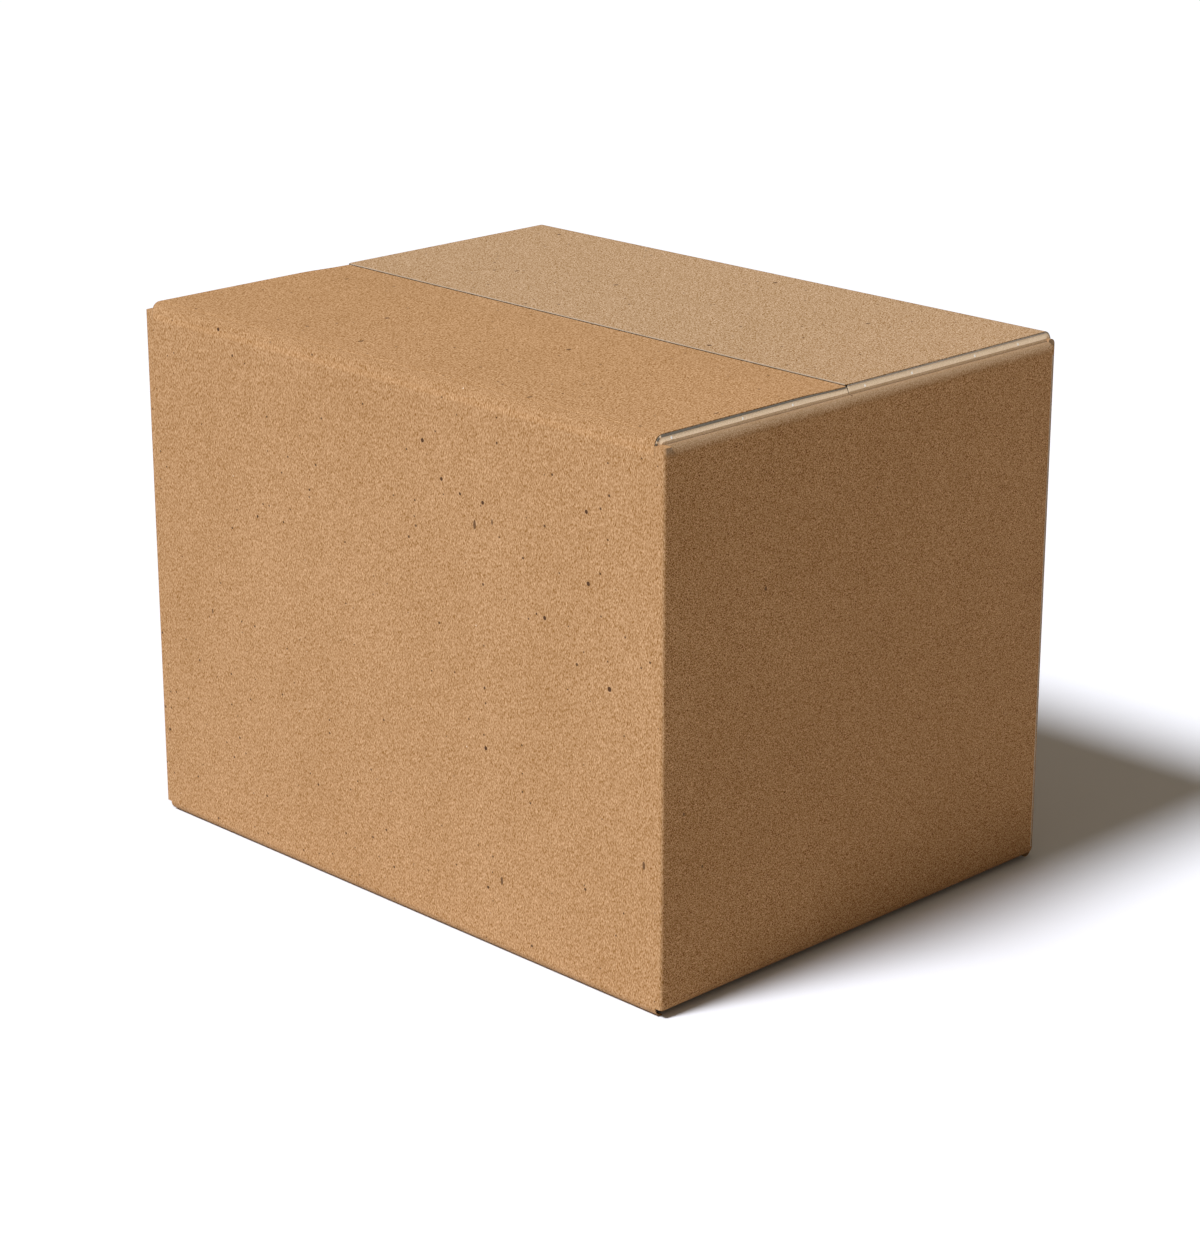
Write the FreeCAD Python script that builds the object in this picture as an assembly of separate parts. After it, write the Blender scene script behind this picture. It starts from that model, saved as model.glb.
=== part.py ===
import FreeCAD, Part
import math
import os

# A closed cardboard shipping box, folded from one sheet of corrugated board.
# Millimetres, +Z up. The box stands on Z = 0 and its middle is on the Z axis.
# Its long panels face -Y (front) and +Y (rear). Its short end panels face -X and +X.
# The body is the folded sheet: four panels, the glue tab, the two short top flaps
# that lie folded in, and the closed floor. The two long top flaps are solids of
# their own, because they swing on the folds along the tops of the long panels.

# Overall size of the closed box
LENGTH = 316.0
DEPTH = 237.0
HEIGHT = 237.0

# Board and folds
BOARD = 4.0
FOLD_RADIUS = BOARD
CORNER_RADIUS = 1.6
GLUE_TAB_WIDTH = 34.0
GLUE_TAB_TRIM = 3.0

# Set-backs of cut ends, each one from the outer face beside it
FLAP_END_SETBACK = 5.4
FLOOR_END_SETBACK = 8.5
FLOOR_FOLD_SETBACK = 3.4
REAR_PANEL_SETBACK = 3.0
SLOT_SETBACK = 3.0

# The seam between the long top flaps lies forward of the middle, slightly askew
SEAM_GAP = 0.6
SEAM_LEFT_Y = -6.3
SEAM_RIGHT_Y = -10.7
FREE_CORNER_RADIUS = 3.0

# Each short flap stops short of half the depth of the box, and clear of the long panels
SHORT_FLAP_SHORTFALL = 0.5
SHORT_FLAP_CLEARANCE = 1.0

# The roll under each end panel sits a little above the ground
END_ROLL_LIFT = 2.0
ROLL_RETURN = 2.6

# Derived sizes
HALF_LENGTH = LENGTH / 2
HALF_DEPTH = DEPTH / 2
INNER_TOP = HEIGHT - BOARD
SHORT_FLAP_UNDERSIDE = HEIGHT - 2 * BOARD
INNER_FLOOR = 2 * BOARD
PANEL_TOP = HEIGHT - FOLD_RADIUS
PANEL_BOTTOM = FOLD_RADIUS
END_FACE_TOP = INNER_TOP - FOLD_RADIUS
END_FACE_BOTTOM = END_ROLL_LIFT + FOLD_RADIUS
FLAP_HALF_SPAN = HALF_LENGTH - FLAP_END_SETBACK
FLOOR_HALF_SPAN = HALF_LENGTH - FLOOR_END_SETBACK
FLOOR_FOLD_HALF_SPAN = HALF_LENGTH - FLOOR_FOLD_SETBACK
SHORT_FLAP_REACH = HALF_LENGTH - HALF_DEPTH + SHORT_FLAP_SHORTFALL
REAR_PANEL_END = HALF_LENGTH - REAR_PANEL_SETBACK
TAB_FACE = HALF_DEPTH - BOARD


def vector(x, y, z):
    return FreeCAD.Vector(x, y, z)


def block(low, high):
    """A plain box between two corners."""
    size = [h - l for l, h in zip(low, high)]
    return Part.makeBox(size[0], size[1], size[2], vector(*low))


def line(start, end):
    return Part.makeLine(start, end)


def arc(start, middle, end):
    return Part.Arc(start, middle, end).toShape()


def closed_outline(points):
    """Straight edges round a list of points and back to the first."""
    return [line(a, b) for a, b in zip(points, points[1:] + points[:1])]


def swept(edges, direction):
    """A solid from a flat outline and the way it is drawn out."""
    return Part.Face(Part.Wire(edges)).extrude(direction)


def rounded_corner(x, y, turn_x, turn_y):
    """Three points of an outer corner in plan: tangent, middle and tangent of its arc."""
    r = CORNER_RADIUS
    bulge = r * (1 - math.sqrt(0.5))
    first = vector(x, y + turn_y * r, PANEL_BOTTOM)
    middle = vector(x + turn_x * bulge, y + turn_y * bulge, PANEL_BOTTOM)
    last = vector(x + turn_x * r, y, PANEL_BOTTOM)
    return first, middle, last


def upright_walls():
    """The four panels as one ring of board. The rear panel ends in a cut edge at the right."""
    rear_left = rounded_corner(-HALF_LENGTH, HALF_DEPTH, 1, -1)
    front_left = rounded_corner(-HALF_LENGTH, -HALF_DEPTH, 1, 1)
    front_right = rounded_corner(HALF_LENGTH, -HALF_DEPTH, -1, 1)
    rear_right = rounded_corner(HALF_LENGTH, TAB_FACE, -1, -1)
    cut_outer = vector(REAR_PANEL_END, HALF_DEPTH, PANEL_BOTTOM)
    cut_inner = vector(REAR_PANEL_END, TAB_FACE, PANEL_BOTTOM)
    edges = [
        line(cut_outer, rear_left[2]),
        arc(rear_left[2], rear_left[1], rear_left[0]),
        line(rear_left[0], front_left[0]),
        arc(*front_left),
        line(front_left[2], front_right[2]),
        arc(front_right[2], front_right[1], front_right[0]),
        line(front_right[0], rear_right[0]),
        arc(*rear_right),
        line(rear_right[2], cut_inner),
        line(cut_inner, cut_outer),
    ]
    ring = swept(edges, vector(0, 0, PANEL_TOP - PANEL_BOTTOM))
    inside_x = HALF_LENGTH - BOARD
    cavity = block((-inside_x, -TAB_FACE, 0), (inside_x, TAB_FACE - BOARD, HEIGHT))
    behind_tab = block((-inside_x, 0, 0), (REAR_PANEL_END - BOARD, TAB_FACE, HEIGHT))
    return ring.cut(cavity).cut(behind_tab)


def glue_tab():
    """The tab of the right end panel, bonded to the inner face of the rear panel."""
    x_high = HALF_LENGTH - BOARD
    return block((x_high - GLUE_TAB_WIDTH, TAB_FACE - BOARD, INNER_FLOOR + GLUE_TAB_TRIM),
                 (x_high, TAB_FACE, SHORT_FLAP_UNDERSIDE - GLUE_TAB_TRIM))


def fold_point(side, degrees):
    """Y and Z on the outer arc of a long top fold, counted up from the panel's face."""
    angle = math.radians(degrees)
    y = side * (HALF_DEPTH - FOLD_RADIUS + FOLD_RADIUS * math.cos(angle))
    return y, PANEL_TOP + FOLD_RADIUS * math.sin(angle)


def fold_wedge(side, start, end):
    """A slice of a long top fold, from one angle to the other, drawn out along X.

    The two halves of a fold meet on the plane that holds the outer corner line of the
    box. That line is the axis of the flap, so the halves part cleanly.
    """
    x = -FLAP_HALF_SPAN
    inner = vector(x, side * TAB_FACE, INNER_TOP)
    first = vector(x, *fold_point(side, start))
    middle = vector(x, *fold_point(side, (start + end) / 2))
    last = vector(x, *fold_point(side, end))
    edges = [line(inner, first), arc(first, middle, last), line(last, inner)]
    return swept(edges, vector(2 * FLAP_HALF_SPAN, 0, 0))


def floor_fold(side, half_span):
    """The fold between a long panel and the floor, drawn out along X."""
    inset = FOLD_RADIUS * (1 - math.sqrt(0.5))
    inner = vector(-half_span, side * TAB_FACE, FOLD_RADIUS)
    outer = vector(-half_span, side * HALF_DEPTH, FOLD_RADIUS)
    middle = vector(-half_span, side * (HALF_DEPTH - inset), inset)
    under = vector(-half_span, side * (HALF_DEPTH - FOLD_RADIUS), 0)
    edges = [line(inner, outer), arc(outer, middle, under), line(under, inner)]
    return swept(edges, vector(2 * half_span, 0, 0))


def long_floor_flap(side):
    """A long flap of the floor and its fold."""
    y_values = sorted((side * SEAM_GAP / 2, side * TAB_FACE))
    sheet = block((-FLOOR_HALF_SPAN, y_values[0], 0), (FLOOR_HALF_SPAN, y_values[1], BOARD))
    return sheet.fuse(floor_fold(side, FLOOR_FOLD_HALF_SPAN))


def end_strip(side, y_low, y_high):
    """An end panel with its two folds and both short flaps, as one bent strip of board."""
    outer = HALF_LENGTH
    inner = HALF_LENGTH - BOARD
    crown = outer - FOLD_RADIUS
    outline = [
        (outer, END_FACE_BOTTOM),
        (outer, END_FACE_TOP),
        (crown, INNER_TOP),
        (SHORT_FLAP_REACH, INNER_TOP),
        (SHORT_FLAP_REACH, SHORT_FLAP_UNDERSIDE),
        (inner, SHORT_FLAP_UNDERSIDE),
        (inner, INNER_FLOOR),
        (SHORT_FLAP_REACH, INNER_FLOOR),
        (SHORT_FLAP_REACH, BOARD),
        (crown - ROLL_RETURN, BOARD),
        (crown, END_ROLL_LIFT),
    ]
    points = [vector(side * x, y_low, z) for x, z in outline]
    reach = FOLD_RADIUS * math.sqrt(0.5)
    upper_middle = vector(side * (crown + reach), y_low, END_FACE_TOP + reach)
    lower_middle = vector(side * (crown + reach), y_low, END_FACE_BOTTOM - reach)
    edges = closed_outline(points)
    edges[1] = arc(points[1], upper_middle, points[2])
    edges[-1] = arc(points[-1], lower_middle, points[0])
    strip = swept(edges, vector(0, y_high - y_low, 0))
    x_values = sorted((0, side * inner))
    flap_edge = TAB_FACE - SHORT_FLAP_CLEARANCE
    for y_values in ((-HALF_DEPTH, -flap_edge), (flap_edge, HALF_DEPTH)):
        strip = strip.cut(block((x_values[0], y_values[0], 0), (x_values[1], y_values[1], HEIGHT)))
    return strip


def end_slot_limits(side):
    """Where the folds of an end panel stop, beside the corners of the box."""
    y_low = -HALF_DEPTH + SLOT_SETBACK
    y_high = HALF_DEPTH - SLOT_SETBACK
    if side > 0:
        y_high -= BOARD
    return y_low, y_high


def carton_body():
    """The folded sheet without its two long top flaps."""
    body = upright_walls()
    for side in (-1, 1):
        y_low, y_high = end_slot_limits(side)
        x_values = sorted((side * (HALF_LENGTH - BOARD), side * (HALF_LENGTH + 1)))
        above = block((x_values[0], y_low, END_FACE_TOP), (x_values[1], y_high, HEIGHT))
        below = block((x_values[0], y_low, 0), (x_values[1], y_high, END_FACE_BOTTOM))
        body = body.cut(above).cut(below)
    pieces = [glue_tab()]
    for side in (-1, 1):
        pieces.append(end_strip(side, *end_slot_limits(side)))
        pieces.append(long_floor_flap(side))
        pieces.append(fold_wedge(side, 0, 45))
    for piece in pieces:
        body = body.fuse(piece)
    return body.removeSplitter()


def seam_y(x):
    """Middle line of the seam at a place along the box."""
    share = (x + HALF_LENGTH) / LENGTH
    return SEAM_LEFT_Y + share * (SEAM_RIGHT_Y - SEAM_LEFT_Y)


def long_top_flap(side):
    """A long top flap with the upper half of its fold. Its free corners are a little rounded."""
    edge_shift = side * SEAM_GAP / 2
    x = FLAP_HALF_SPAN
    corners = [
        vector(-x, side * TAB_FACE, INNER_TOP),
        vector(x, side * TAB_FACE, INNER_TOP),
        vector(x, seam_y(x) + edge_shift, INNER_TOP),
        vector(-x, seam_y(-x) + edge_shift, INNER_TOP),
    ]
    sheet = swept(closed_outline(corners), vector(0, 0, BOARD))
    free = []
    for edge in sheet.Edges:
        box = edge.BoundBox
        if box.ZLength > BOARD / 2 and abs(box.YMin) < HALF_DEPTH / 2:
            free.append(edge)
    sheet = sheet.makeFillet(FREE_CORNER_RADIUS, free)
    return sheet.fuse(fold_wedge(side, 45, 90)).removeSplitter()


os.makedirs("parts", exist_ok=True)
carton_body().exportStep("parts/carton_body.step")
long_top_flap(-1).exportStep("parts/front_top_flap.step")
long_top_flap(1).exportStep("parts/rear_top_flap.step")
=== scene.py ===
# %% [markdown]
# # A closed box of corrugated board
# The object is a shipping box folded from one sheet of corrugated board. The packed
# model gives its solids and its hinges. This lesson dresses them: every sheet becomes
# two layers of brown paper with a wavy layer between them, which shows at each cut edge.

# %% Load the frame
import math
import bpy
import bmesh
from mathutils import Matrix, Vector


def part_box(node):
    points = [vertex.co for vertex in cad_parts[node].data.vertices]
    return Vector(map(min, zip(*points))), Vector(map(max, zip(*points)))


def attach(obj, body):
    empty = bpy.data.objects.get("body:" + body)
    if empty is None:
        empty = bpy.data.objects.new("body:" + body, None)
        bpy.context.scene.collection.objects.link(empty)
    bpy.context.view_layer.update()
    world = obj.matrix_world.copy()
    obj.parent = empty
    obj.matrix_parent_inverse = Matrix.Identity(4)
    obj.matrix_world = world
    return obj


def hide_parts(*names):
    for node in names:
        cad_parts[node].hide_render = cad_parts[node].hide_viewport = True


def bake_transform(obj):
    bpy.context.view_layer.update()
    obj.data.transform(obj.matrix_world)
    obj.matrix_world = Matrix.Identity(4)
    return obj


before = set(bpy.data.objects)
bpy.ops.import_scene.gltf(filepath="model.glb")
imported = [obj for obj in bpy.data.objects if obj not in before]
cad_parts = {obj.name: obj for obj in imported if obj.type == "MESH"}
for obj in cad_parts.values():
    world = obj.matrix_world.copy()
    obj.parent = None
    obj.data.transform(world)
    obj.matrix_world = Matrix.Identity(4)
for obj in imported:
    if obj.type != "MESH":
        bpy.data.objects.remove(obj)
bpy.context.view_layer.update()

# %% [markdown]
# All sizes below are in millimetres and are turned into metres where they are used.
# The box is read from the frame, so the paper always fits the solids. NEAR tells how
# close to a plane a corner has to lie to count as on it.

# %% Sizes of the box and of the board
MM = 0.001
BOARD = 4.0
PAPER = 0.35
FLUTE_PAPER = 0.28
STRIP_PAPER = 0.15
FLUTE_PITCH = 7.8
CORNER = 1.6
ROUND = BOARD - 0.1
INNER_BEND = 0.3
NEAR = 0.1
body_low, body_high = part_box("carton_body")
flap_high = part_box("front_top_flap")[1]
LENGTH = round((body_high[0] - body_low[0]) / MM, 2)
DEPTH = round((body_high[1] - body_low[1]) / MM, 2)
HEIGHT = round(flap_high[2] / MM, 2)
FLAP_X = round(flap_high[0] / MM, 2)
HALF_X = LENGTH / 2
HALF_Y = DEPTH / 2
INSIDE_X = HALF_X - BOARD
INSIDE_Y = HALF_Y - BOARD
REAR_CUT = HALF_X - 3.0
print("box", LENGTH, DEPTH, HEIGHT, "flaps end at", FLAP_X)

# %% [markdown]
# ## Paper liners
# A liner is a strip of paper that turns at each fold. It could be drawn point by point,
# but it is easier to fold it as the box maker does: an edge as wide as the sheet is
# extruded from fold to fold, each fold edge is bevelled to its radius, and Solidify
# gives the strip the thickness of paper. The rim takes the next material, cut paper.

# %% Select by place
def pick(ob, test, kind="VERT"):
    """In edit mode, select only what passes the test, by place in millimetres."""
    bpy.ops.mesh.select_mode(type=kind)
    bpy.ops.mesh.select_all(action="DESELECT")
    mesh = bmesh.from_edit_mesh(ob.data)
    parts = {"VERT": mesh.verts, "EDGE": mesh.edges, "FACE": mesh.faces}[kind]
    count = 0
    for part in parts:
        points = [part.co] if kind == "VERT" else [v.co for v in part.verts]
        if all(test(*(p / MM)) for p in points):
            part.select_set(True)
            count += 1
    mesh.select_flush(kind == "VERT")
    bmesh.update_edit_mesh(ob.data)
    return count


# %% Start from an edge
def new_edge(name, start, width, along):
    """An object in edit mode that holds one edge, its middle at start."""
    bpy.ops.object.select_all(action="DESELECT")
    bpy.ops.mesh.primitive_plane_add(size=width * MM, location=(0, 0, 0))
    ob = bpy.context.active_object
    ob.name = name
    ob.data.name = name
    bpy.ops.object.mode_set(mode="EDIT")
    pick(ob, lambda x, y, z: y > 0)
    bpy.ops.mesh.delete(type="VERT")
    bpy.ops.mesh.select_all(action="SELECT")
    bpy.ops.transform.translate(value=(0, width / 2 * MM, 0))
    if along == "Y":
        bpy.ops.transform.rotate(value=math.pi / 2, orient_axis="Z", center_override=(0, 0, 0))
    if along == "Z":
        bpy.ops.transform.rotate(value=math.pi / 2, orient_axis="Y", center_override=(0, 0, 0))
    bpy.ops.transform.translate(value=[c * MM for c in start])
    return ob


# %% Finish a sheet
def apply_modifier(ob, kind, **settings):
    """Add a modifier with its settings and apply it."""
    change = ob.modifiers.new(kind.title(), kind)
    for key, value in settings.items():
        setattr(change, key, value)
    bpy.context.view_layer.objects.active = ob
    bpy.ops.object.modifier_apply(modifier=change.name)


def face_away(ob, outside, middle):
    """Point the faces away from the middle of the box, or towards it for an inner liner."""
    bpy.ops.mesh.select_all(action="SELECT")
    bpy.ops.mesh.normals_make_consistent(inside=False)
    mesh = bmesh.from_edit_mesh(ob.data)
    lean = sum(f.calc_area() * f.normal.dot(f.calc_center_median() - middle) for f in mesh.faces)
    if (lean > 0) != outside:
        bpy.ops.mesh.flip_normals()


# %% Fold a strip of paper
BOX_MIDDLE = Vector((0, 0, HEIGHT / 2 * MM))


def liner(name, along, width, middle, path, radii, outside=True):
    """Extrude an edge through the points of a path, bevel the folds and thicken it.

    along is the axis of the folds, middle the place of the strip on that axis, and path
    lists the two other coordinates of each point.
    """
    axis = "XYZ".index(along)

    def place(pair):
        point = list(pair)
        point.insert(axis, middle)
        return point

    ob = new_edge(name, place(path[0]), width, along)
    for here, there in zip(path, path[1:]):
        step = [(b - a) * MM for a, b in zip(place(here), place(there))]
        bpy.ops.mesh.extrude_region_move(TRANSFORM_OT_translate={"value": step})
    for pair, radius in zip(path[1:-1], radii):
        if radius:
            others = [i for i in range(3) if i != axis]
            pick(ob, lambda *p: all(abs(p[i] - c) < 0.02 for i, c in zip(others, pair)), "EDGE")
            bpy.ops.mesh.bevel(affect="EDGES", offset=radius * MM, segments=6, profile=0.5)
    face_away(ob, outside, BOX_MIDDLE)
    return ob


def thicken(ob, thickness=PAPER, offset=-1):
    """Give the paper its thickness. The rim takes the material after the face's own."""
    bpy.ops.object.mode_set(mode="OBJECT")
    apply_modifier(ob, "SOLIDIFY", thickness=thickness * MM, offset=offset, material_offset_rim=1)
    return ob


# %% [markdown]
# ## Walls
# Seen from above, the sheet goes once round the box: from the rear panel's cut edge at
# the right, along the rear, the left end, the front and the right end, and on into the
# glue tab, which lies inside the rear panel. The folds stand upright, so the strip is
# as wide as the panels are high.

# %% Names for heights and lengths
SLOT = 3.0
ROLL_REACH = 4.0
GLUE_TAB = 34.0
TAB_ROOM = 3.0
TOP_INNER = HEIGHT - BOARD
END_TOP = TOP_INNER - BOARD
END_BOTTOM = 6.0
PANEL_LOW = BOARD
PANEL_HIGH = TOP_INNER
LONG_TOP = TOP_INNER - ROLL_REACH
SLOT_LOW = -HALF_Y + SLOT
SLOT_HIGH = {-1: HALF_Y - SLOT, 1: INSIDE_Y}
TAB_START = INSIDE_X
TAB_END = TAB_START - GLUE_TAB
TAB_LOW = 2 * BOARD + TAB_ROOM
TAB_HIGH = END_TOP - TAB_ROOM
print("panels", PANEL_LOW, "to", PANEL_HIGH, "glue tab", TAB_LOW, "to", TAB_HIGH)


# %% Cut slots into a strip of wall
def cut_at(ob, place, axis):
    """Cut the mesh along a plane across one axis, without removing anything."""
    normal = [0, 0, 0]
    normal["XYZ".index(axis)] = 1
    spot = [c * place * MM for c in normal]
    bpy.ops.mesh.select_all(action="SELECT")
    bpy.ops.mesh.bisect(plane_co=spot, plane_no=normal)


def remove(ob, test):
    """Delete the faces whose corners all pass the test."""
    count = pick(ob, test, "FACE")
    if count:
        bpy.ops.mesh.delete(type="FACE")
    return count


def slot_walls(ob, end_low, end_high, long_high):
    """Open the ring where the folds of the ends and of the long panels take over."""
    for height in sorted({end_low, end_high, long_high}):
        cut_at(ob, height, "Z")
    for place in (SLOT_LOW, SLOT_HIGH[1], SLOT_HIGH[-1]):
        cut_at(ob, place, "Y")
    for place in (-FLAP_X, FLAP_X):
        cut_at(ob, place, "X")
    gone = 0
    for side in (-1, 1):
        def on_end(x, y, side=side):
            return side * x > INSIDE_X - NEAR and SLOT_LOW - NEAR < y < SLOT_HIGH[side] + NEAR

        gone += remove(ob, lambda x, y, z: on_end(x, y) and z > end_high - NEAR)
        gone += remove(ob, lambda x, y, z: on_end(x, y) and z < end_low + NEAR)
    gone += remove(ob, lambda x, y, z: abs(y) > INSIDE_Y - NEAR and z > long_high - NEAR)
    gone += remove(ob, lambda x, y, z: abs(x) > INSIDE_X - NEAR and z > long_high - NEAR)
    print(ob.name, "slots removed", gone, "faces")


def trim_tab(ob, face_y):
    """Shorten the glue tab, so that the short flaps pass above and below it."""
    for height in (TAB_LOW, TAB_HIGH):
        cut_at(ob, height, "Z")

    def on_tab(x, y):
        return abs(y - face_y) < NEAR and TAB_END - 1 < x < TAB_START + NEAR

    gone = remove(ob, lambda x, y, z: on_tab(x, y) and z > TAB_HIGH - NEAR)
    gone += remove(ob, lambda x, y, z: on_tab(x, y) and z < TAB_LOW + NEAR)
    print(ob.name, "tab trimmed", gone, "faces")


# %% Outer and inner liner of the walls
WALL_HEIGHT = PANEL_HIGH - PANEL_LOW
WALL_MIDDLE = (PANEL_HIGH + PANEL_LOW) / 2
outer_path = [
    (REAR_CUT, HALF_Y), (-HALF_X, HALF_Y), (-HALF_X, -HALF_Y),
    (HALF_X, -HALF_Y), (HALF_X, INSIDE_Y), (TAB_END, INSIDE_Y)]
inner_path = [
    (REAR_CUT, INSIDE_Y), (-INSIDE_X, INSIDE_Y), (-INSIDE_X, -INSIDE_Y),
    (INSIDE_X, -INSIDE_Y), (INSIDE_X, INSIDE_Y - BOARD), (TAB_END, INSIDE_Y - BOARD)]

wall_outer = liner("wall_outer", "Z", WALL_HEIGHT, WALL_MIDDLE, outer_path, [CORNER] * 4)
slot_walls(wall_outer, END_BOTTOM, END_TOP, LONG_TOP)
cut_at(wall_outer, TAB_START, "X")
trim_tab(wall_outer, INSIDE_Y)
thicken(wall_outer)
inner_bends = [INNER_BEND] * 4
wall_inner = liner("wall_inner", "Z", WALL_HEIGHT, WALL_MIDDLE, inner_path, inner_bends, False)
slot_walls(wall_inner, 2 * BOARD, END_TOP, LONG_TOP)
trim_tab(wall_inner, INSIDE_Y - BOARD)
thicken(wall_inner)
print("walls", len(wall_outer.data.polygons), len(wall_inner.data.polygons), "faces")

# %% [markdown]
# ## Ends and short flaps
# Each end panel rolls over at the top into a short flap that lies folded in, and at the
# bottom into a short floor flap. One strip follows the whole bend, from the free edge of
# one flap to the free edge of the other. The panel between the folds is already there,
# so that stretch is deleted again.

# %% End folds with their short flaps
FLAP_EDGE = INSIDE_Y - 1.0
SHORT_END = 40.0
ROLL_START = HALF_X - 6.6


def end_liners(side):
    """Outer and inner liner of the folds and short flaps at one end."""
    low = SLOT_LOW
    high = SLOT_HIGH[side]
    free, roll, inside, outside = [side * x for x in (SHORT_END, ROLL_START, INSIDE_X, HALF_X)]
    floor = END_BOTTOM - BOARD
    outer = [(free, BOARD), (roll, BOARD), (inside, floor), (outside, floor),
             (outside, TOP_INNER), (free, TOP_INNER)]
    inner = [(free, 2 * BOARD), (inside, 2 * BOARD), (inside, END_TOP), (free, END_TOP)]
    made = []
    for word, path, radii, faces_out in (
            ("outer", outer, [0, 0, ROUND, BOARD], True), ("inner", inner, [0, 0], False)):
        ob = liner(f"end_{word}", "Y", high - low, (high + low) / 2, path, radii, faces_out)
        for place in (-FLAP_EDGE, FLAP_EDGE):
            cut_at(ob, place, "Y")
        cut_at(ob, inside, "X")
        for hand in (-1, 1):
            remove(ob, lambda x, y, z: side * x < INSIDE_X + NEAR and hand * y > FLAP_EDGE - NEAR)
        panel = HALF_X if faces_out else INSIDE_X
        remove(ob, lambda x, y, z: side * x > panel - NEAR)
        made.append(thicken(ob))
    return made


end_papers = end_liners(-1) + end_liners(1)
print("end strips", [len(ob.data.polygons) for ob in end_papers])

# %% [markdown]
# ## Floor
# The long floor flaps close the bottom from outside. Their folds run nearly the whole
# length, and the flaps themselves are a little shorter, so that the rolls of the ends
# stand clear of them.

# %% Floor flaps
FLOOR_X = HALF_X - 8.5
FLOOR_FOLD_X = HALF_X - 3.4
FLOOR_GAP = 0.3


def floor_liners(side):
    """Fold, outer liner and inner liner of one long floor flap."""
    outside, inside, free = [side * y for y in (HALF_Y, INSIDE_Y, FLOOR_GAP)]
    fold_path = [(outside, BOARD), (outside, 0), (inside, 0)]
    fold = thicken(liner("floor_fold", "X", 2 * FLOOR_FOLD_X, 0, fold_path, [ROUND]))
    under_path = [(inside, 0), (free, 0)]
    under = thicken(liner("floor_outer", "X", 2 * FLOOR_X, 0, under_path, []))
    above_path = [(inside, BOARD), (free, BOARD)]
    above = thicken(liner("floor_inner", "X", 2 * FLOOR_X, 0, above_path, [], outside=False))
    return [fold, under, above]


floor_papers = floor_liners(-1) + floor_liners(1)
print("floor strips", [len(ob.data.polygons) for ob in floor_papers])

# %% [markdown]
# ## The wavy layer
# Between the liners runs a wave of paper, the flutes. Its edges are what makes a cut
# edge look like corrugated board. One flute is an edge extruded in four steps up and
# down; Array repeats it over the sheet and Subdivision Surface rounds the zigzag into a
# wave. A rounded zigzag loses a third of its height, so it is drawn half as high again.

# %% One sheet of flutes
WAVE_GAIN = 1.5
MERGE = 0.0001


def zigzag(wave, thin, rise):
    """Extrude the open edge in four steps, up and down, along the wave axis."""
    for turn in (1, -1, -1, 1):
        step = [0, 0, 0]
        step[wave] = FLUTE_PITCH / 4 * MM
        step[thin] = turn * rise * MM
        bpy.ops.mesh.extrude_region_move(TRANSFORM_OT_translate={"value": step})


def repeat_wave(ob, wave, width, levels):
    """Repeat one flute over a width and round it."""
    shift = [0, 0, 0]
    shift[wave] = FLUTE_PITCH * MM
    count = math.ceil(width / FLUTE_PITCH) + 3
    apply_modifier(ob, "ARRAY", count=count, use_relative_offset=False,
                   use_constant_offset=True, constant_offset_displace=shift,
                   use_merge_vertices=True, merge_threshold=MERGE)
    apply_modifier(ob, "SUBSURF", levels=levels, render_levels=levels,
                   boundary_smooth="PRESERVE_CORNERS")


def trim(ob, axis, low, high):
    """Cut away what lies beyond two planes across an axis."""
    bpy.ops.object.mode_set(mode="EDIT")
    normal = [0, 0, 0]
    normal[axis] = 1
    for place, clear in ((low, {"clear_inner": True}), (high, {"clear_outer": True})):
        bpy.ops.mesh.select_all(action="SELECT")
        spot = [c * place * MM for c in normal]
        bpy.ops.mesh.bisect(plane_co=spot, plane_no=normal, **clear)


def flutes(name, low, high, run, lead=0.0):
    """A wavy layer that fills the box from low to high, with its flutes along the run axis.

    lead shifts the wave, so that a cut edge can open on a crest or on a hollow.
    """
    size = [b - a for a, b in zip(low, high)]
    run_axis = "XYZ".index(run)
    thin = min((i for i in range(3) if i != run_axis), key=lambda i: size[i])
    wave = 3 - run_axis - thin
    start = [(a + b) / 2 for a, b in zip(low, high)]
    start[wave] = low[wave] - FLUTE_PITCH * (1 + lead)
    ob = new_edge(name, start, size[run_axis], run)
    zigzag(wave, thin, (size[thin] - FLUTE_PAPER) / 2 * WAVE_GAIN)
    bpy.ops.object.mode_set(mode="OBJECT")
    repeat_wave(ob, wave, size[wave], 2)
    trim(ob, wave, low[wave], high[wave])
    return thicken(ob, FLUTE_PAPER, 0)


# %% Flutes of the walls and of the floor
BETWEEN = BOARD - PAPER
CORNER_ROOM = 1.2
REAR_LEAD = 0.3
x_paper = HALF_X - PAPER
y_paper = HALF_Y - PAPER
x_long = x_paper - CORNER_ROOM
wall_flutes = [
    flutes("flutes_front", (-x_long, -y_paper, PANEL_LOW),
           (x_long, -HALF_Y + BETWEEN, LONG_TOP), "Z"),
    flutes("flutes_rear", (-x_long, HALF_Y - BETWEEN, PANEL_LOW),
           (REAR_CUT, y_paper, LONG_TOP), "Z", REAR_LEAD),
    flutes("flutes_left", (-x_paper, -INSIDE_Y, END_BOTTOM),
           (-HALF_X + BETWEEN, INSIDE_Y, END_TOP), "Z"),
    flutes("flutes_right", (HALF_X - BETWEEN, -INSIDE_Y, END_BOTTOM),
           (x_paper, INSIDE_Y - BOARD, END_TOP), "Z"),
    flutes("flutes_tab", (TAB_END, INSIDE_Y - BETWEEN, TAB_LOW),
           (TAB_START, INSIDE_Y - PAPER, TAB_HIGH), "Z"),
]
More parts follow.
